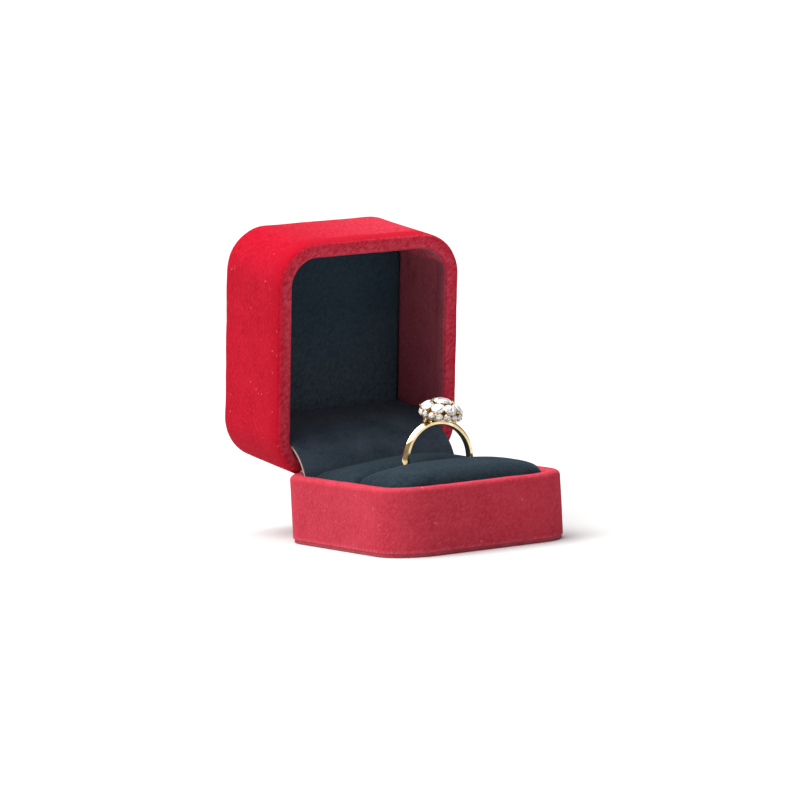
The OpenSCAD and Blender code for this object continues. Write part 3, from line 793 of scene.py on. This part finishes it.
def makeCover(name, depth, thick, material, stands):
    bm = bmesh.new()
    line = coverLine()
    verts = []
    for i, p in enumerate(line):
        after, before = line[min(i + 1, len(line) - 1)], line[max(i - 1, 0)]
        along = (after - before).normalized()
        out = Vector((0, along.z, -along.y))
        if out.z < 0 or (out.z < 0.3 and out.y > 0):
            out = -out
        verts.append(bm.verts.new(p - out * depth + Vector((-cover["half"], 0, 0))))
    geom = verts + [bm.edges.new(pair) for pair in zip(verts, verts[1:])]
    steps = cover["widthSteps"]
    bmesh.ops.spin(bm, geom=geom, cent=(0, 0, 0), axis=(1, 0, 0), angle=0, steps=steps, use_merge=False,
                   dvec=(2 * cover["half"] / steps, 0, 0))
    bmesh.ops.recalc_face_normals(bm, faces=bm.faces)
    if sum(f.normal.z for f in bm.faces) < 0:
        bmesh.ops.reverse_faces(bm, faces=bm.faces)
    nap = bm.verts.layers.float.new("nap")
    # lighter towards the lid end: painted light where the cover meets the panel, and lint
    for v in bm.verts:
        v[nap] = cover["paintedLightAndLint"] * bumpAt(v.co.y, 46.0, 14.0)
        v.co.z += cover["uneven"] * noise.noise(v.co / 8.0)
    bmesh.ops.solidify(bm, geom=list(bm.faces), thickness=thick)
    bmesh.ops.recalc_face_normals(bm, faces=bm.faces)
    piece = finishPiece(name, bm, None, [material])
    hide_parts(*stands)
    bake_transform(piece)


makeCover("hingeCoverVelvet", 0.0, cover["velvet"], coverBlack, ["hinge_cover_velvet"])
makeCover("hingeCoverCard", cover["velvet"], cover["card"], coverCard, ["hinge_cover_card"])


def makeSpring(side):
    # the bent strip again, welded
    node = frame["nodes"]["snap_spring_" + side]
    bm = bmesh.new()
    bm.from_mesh(node.data)
    bmesh.ops.transform(bm, matrix=Matrix.Scale(1 / mm, 4) @ node.matrix_world, verts=bm.verts)
    bmesh.ops.remove_doubles(bm, verts=bm.verts, dist=0.001)
    piece = finishPiece(side + "Spring", bm, None, [springSteel], [node.name])
    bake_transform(piece)


makeSpring("left")
makeSpring("right")
print("hinge cover and springs made")

ring = {
    "inside": 8.7, "outside": 10.1, "half": 1.2, "centre": (2.5, -2.95, 20.1),
    "lean": 7.0, "nod": 10.0,       # band to the right, head to the front
    "head": 4.35, "middle": 4.9,    # the middle stone's girdle over the band, and its width
    "petal": 3.2, "petals": 8, "tilt": 37.0, "drop": 1.2,
    "small": 1.6, "smalls": 16, "smallTilt": 88.0, "smallDrop": 3.1,
    "claw": 0.15, "clawTurn": 42, "seed": 7,
}
girdle = ring["outside"] + ring["head"]
petalOut = ring["middle"] / 2 + ring["petal"] / 2 + 0.05
drumRadius = petalOut + (ring["petal"] / 2 - 0.1) * math.cos(math.radians(ring["tilt"]))
ringPlace = Matrix.Translation(ring["centre"]) @ Matrix.Rotation(math.radians(ring["lean"]), 4, "Y")
bandTop = Matrix.Translation((0, 0, ring["outside"]))
headPlace = ringPlace @ bandTop @ Matrix.Rotation(math.radians(ring["nod"]), 4, "X") @ bandTop.inverted()
glintDice = random.Random(ring["seed"])


def roundHead(count, first, out, height, tilt):
    # places all round the head, each tilted outwards
    for n in range(count):
        turn = Matrix.Rotation(2 * math.pi * (n + first) / count, 4, "Z")
        yield turn @ Matrix.Translation((out, 0, height)) @ Matrix.Rotation(math.radians(tilt), 4, "Y")


middlePlace = Matrix.Translation((0, 0, girdle))
petalPlaces = list(roundHead(ring["petals"], 0, petalOut, girdle - ring["drop"], ring["tilt"]))
smallPlaces = list(roundHead(ring["smalls"], 0.5, drumRadius - 0.05, girdle - ring["smallDrop"],
                             ring["smallTilt"]))


def spinRound(bm, profile, steps, upright=True):
    # a closed profile of (out, along) points, turned all round Z, or round Y for the band
    verts = [bm.verts.new((out, 0, along) if upright else (out, along, 0)) for out, along in profile]
    geom = verts + [bm.edges.new(pair) for pair in zip(verts, verts[1:] + verts[:1])]
    bmesh.ops.spin(bm, geom=geom, cent=(0, 0, 0), axis=(0, 0, 1) if upright else (0, 1, 0),
                   angle=2 * math.pi, steps=steps, dvec=(0, 0, 0), use_merge=True)


def addStone(bm, diameter, place):
    # a round brilliant as the hull of its table, star, girdle, pavilion and culet points
    r = diameter / 2
    made = []
    rings = ((8, 0.57, 0.30, 0.0), (8, 0.80, 0.19, 0.5), (16, 1.0, 0.02, 0.0), (16, 1.0, -0.03, 0.0),
             (8, 0.42, -0.52, 0.5))
    for count, out, height, turn in rings:
        found = bmesh.ops.create_circle(bm, segments=count, radius=r * out,
                                        matrix=Matrix.Translation((0, 0, r * height))
                                        @ Matrix.Rotation(2 * math.pi / count * turn, 4, "Z"))["verts"]
        made += found
    made += bmesh.ops.create_vert(bm, co=(0, 0, -0.86 * r))["vert"]
    bmesh.ops.convex_hull(bm, input=made)
    bmesh.ops.transform(bm, matrix=place, verts=made)


def makeStones(name, diameter, places, stands):
    bm = bmesh.new()
    for place in places:
        part = bmesh.new()
        addStone(part, diameter, place)
        mesh = bpy.data.meshes.new("stonePart")
        part.to_mesh(mesh)
        part.free()
        bm.from_mesh(mesh)
        bpy.data.meshes.remove(mesh)
    bmesh.ops.transform(bm, matrix=headPlace, verts=bm.verts)
    bmesh.ops.recalc_face_normals(bm, faces=bm.faces)
    # a random painted glint value for each facet
    paintedFacetGlint = bm.faces.layers.float.new("paintedFacetGlint")
    for f in bm.faces:
        f[paintedFacetGlint] = glintDice.random()
    finishPiece(name, bm, "ring", [clearStone], stands, smooth=None)


makeStones("middleStone", ring["middle"], [middlePlace], ["ring_middle_stone"])
makeStones("petalStones", ring["petal"], petalPlaces, ["ring_petal_stones"])
makeStones("smallStones", ring["small"], smallPlaces, ["ring_small_stones"])


def makeBand():
    bm = bmesh.new()
    inside, outside, half = ring["inside"], ring["outside"], ring["half"]
    section = [(inside + 0.12, -half), (inside, -half + 0.25), (inside, half - 0.25), (inside + 0.12, half),
               (inside + 0.75, half), (outside - 0.12, half * 0.45), (outside, half * 0.2),
               (outside, -half * 0.2), (outside - 0.12, -half * 0.45), (inside + 0.75, -half)]
    spinRound(bm, section, 120, upright=False)
    bmesh.ops.remove_doubles(bm, verts=bm.verts, dist=0.001)
    bmesh.ops.recalc_face_normals(bm, faces=bm.faces)
    bmesh.ops.transform(bm, matrix=ringPlace, verts=bm.verts)
    finishPiece("ringBand", bm, "ring", [gold], ["ring_band"], smooth=math.radians(18))


makeBand()


def addCup(bm, diameter, place, foot):
    # open collet with a rounded lip under a stone
    r, deep = diameter / 2, diameter * 0.43 + 0.2
    profile = [(r - 0.02, -0.12), (r + 0.02, 0.02), (r + 0.08, 0.04), (r + 0.13, -0.04), (r + 0.1, -0.2),
               (foot + 0.15, -deep), (foot, -deep)]
    before = set(bm.verts)
    spinRound(bm, profile, 20)
    new = [v for v in bm.verts if v not in before]
    bmesh.ops.transform(bm, matrix=place, verts=new)


def addClaw(bm, diameter, turn, place):
    c = ring["claw"]
    at = Matrix.Rotation(math.radians(turn), 4, "Z") @ Matrix.Translation((diameter / 2 + c * 0.55, 0, 0))
    lengths = ((-0.9, 0.15, c * 0.75, c), (0.15, 0.32, c, c * 0.8), (0.32, 0.42, c * 0.8, c * 0.3))
    for low, high, r0, r1 in lengths:
        bmesh.ops.create_cone(bm, cap_ends=True, segments=10, radius1=r0, radius2=r1, depth=high - low,
                              matrix=place @ at @ Matrix.Translation((0, 0, (low + high) / 2)))


def makeSetting():
    bm = bmesh.new()
    addCup(bm, ring["middle"], middlePlace, 0.9)
    for place in petalPlaces:
        addCup(bm, ring["petal"], place, 0.5)
    for place in smallPlaces:
        addCup(bm, ring["small"], place, 0.25)
    # lower rim of the head, then the arms and struts that join it to the band
    low, mid = ring["outside"] + 0.08, girdle - 2.9
    wall = [(drumRadius - 0.75, low + 0.2), (drumRadius - 0.45, low), (drumRadius - 0.15, low + 0.15),
            (drumRadius - 0.25, mid - 0.2), (drumRadius - 0.35, mid), (drumRadius - 0.7, mid)]
    spinRound(bm, wall, 64)
    for way in (-1, 1):
        arm = Matrix.Translation((way * 4.1, 0, 10.1)) @ Matrix.Rotation(way * -0.35, 4, "Y")
        bmesh.ops.create_cone(bm, cap_ends=True, segments=16, radius1=0.5, radius2=0.7, depth=2.2, matrix=arm)
    for n in range(4):
        turn = Matrix.Rotation(math.pi / 4 + n * math.pi / 2, 4, "Z")
        bmesh.ops.create_cone(bm, cap_ends=True, segments=12, radius1=0.55, radius2=0.4, depth=4.6,
                              matrix=turn @ Matrix.Translation((2.3, 0, low + 0.35))
                              @ Matrix.Rotation(math.pi / 2, 4, "Y"))
    bmesh.ops.create_cone(bm, cap_ends=True, segments=16, radius1=1.0, radius2=0.8, depth=2.4,
                          matrix=Matrix.Translation((0, 0, low + 0.75)))
    bmesh.ops.remove_doubles(bm, verts=bm.verts, dist=0.0005)
    bmesh.ops.recalc_face_normals(bm, faces=bm.faces)
    bmesh.ops.transform(bm, matrix=headPlace, verts=bm.verts)
    finishPiece("ringSetting", bm, "ring", [gold], ["ring_gallery"])


makeSetting()


def makeClaws():
    bm = bmesh.new()
    for n in range(ring["petals"]):
        addClaw(bm, ring["middle"], 360 / ring["petals"] * (n + 0.5), middlePlace)
    for place in petalPlaces:
        for turn in (-ring["clawTurn"], ring["clawTurn"]):
            addClaw(bm, ring["petal"], turn, place)
    bmesh.ops.transform(bm, matrix=headPlace, verts=bm.verts)
    finishPiece("ringClaws", bm, "ring", [gold], ["ring_claws"])


makeClaws()
print("ring made")

finishes = {
    "base_shell": moulding, "lid_shell": moulding, "bottom_board": greyBoard, "cushion_carrier": greyBoard,
    "panel_board": greyBoard, "base_leaf": hingeSteel, "lid_leaf": hingeSteel,
    "hinge_pin": hingeSteel, "base_rivets": hingeSteel, "lid_rivets": hingeSteel,
}
for node, material in finishes.items():
    for slotHere in frame["nodes"][node].material_slots:
        slotHere.material = material
print("carried-over parts finished")

view = {"azimuth": -30.059, "elevation": 5.413, "roll": -2.985, "aim": (0.0, 0.0, 20.0),
        "right": 5.752, "up": -14.818, "distance": 1238.721, "focal": 4991.842 / 800}


def placeCamera():
    # a long lens, fitted to the box's outlines
    a, e, r = (math.radians(view[k]) for k in ("azimuth", "elevation", "roll"))
    back = Vector((math.sin(a) * math.cos(e), -math.cos(a) * math.cos(e), math.sin(e)))
    right = Vector((math.cos(a), math.sin(a), 0))
    up = back.cross(right)
    x = right * math.cos(r) + up * math.sin(r)
    y = up * math.cos(r) - right * math.sin(r)
    at = (Vector(view["aim"]) - x * view["right"] - y * view["up"] + back * view["distance"]) * mm
    data = bpy.data.cameras.new("camera")
    data.sensor_width = 36.0
    data.lens = 36.0 * view["focal"]
    data.clip_start, data.clip_end = 0.05, 50.0
    camera = bpy.data.objects.new("camera", data)
    bpy.context.scene.collection.objects.link(camera)
    camera.matrix_world = Matrix((
        (x.x, y.x, back.x, at.x), (x.y, y.y, back.y, at.y), (x.z, y.z, back.z, at.z), (0, 0, 0, 1)))
    bpy.context.scene.camera = camera


placeCamera()


def makeFloor():
    bm = bmesh.new()
    bmesh.ops.create_grid(bm, x_segments=2, y_segments=2, size=30.0)
    mesh = bpy.data.meshes.new("floor")
    bm.to_mesh(mesh)
    bm.free()
    floor = bpy.data.objects.new("floor", mesh)
    bpy.context.scene.collection.objects.link(floor)
    material, _, shader = nodeTree("palePaper")
    shader.inputs["Base Color"].default_value = (0.62, 0.62, 0.62, 1.0)
    shader.inputs["Roughness"].default_value = 0.8
    shader.inputs["Specular IOR Level"].default_value = 0.1
    mesh.materials.append(material)


makeFloor()

studio = {"at": (-0.56, 0.36, 1.6), "wide": 68.0, "power": 5.75, "surround": 0.33}  # one broad soft lamp


def placeLight():
    data = bpy.data.lights.new("key", "SUN")
    data.angle, data.energy = math.radians(studio["wide"]), studio["power"]
    light = bpy.data.objects.new("key", data)
    light.location = studio["at"]
    light.rotation_euler = (-Vector(studio["at"])).to_track_quat("-Z", "Y").to_euler()
    bpy.context.scene.collection.objects.link(light)
    world = bpy.data.worlds.new("studio")
    world.use_nodes = True
    world.node_tree.nodes["Background"].inputs["Color"].default_value = (1.0, 1.0, 1.0, 1.0)
    world.node_tree.nodes["Background"].inputs["Strength"].default_value = studio["surround"]
    bpy.context.scene.world = world


placeLight()
bpy.context.scene.view_settings.view_transform = "Standard"

print("scene ready")
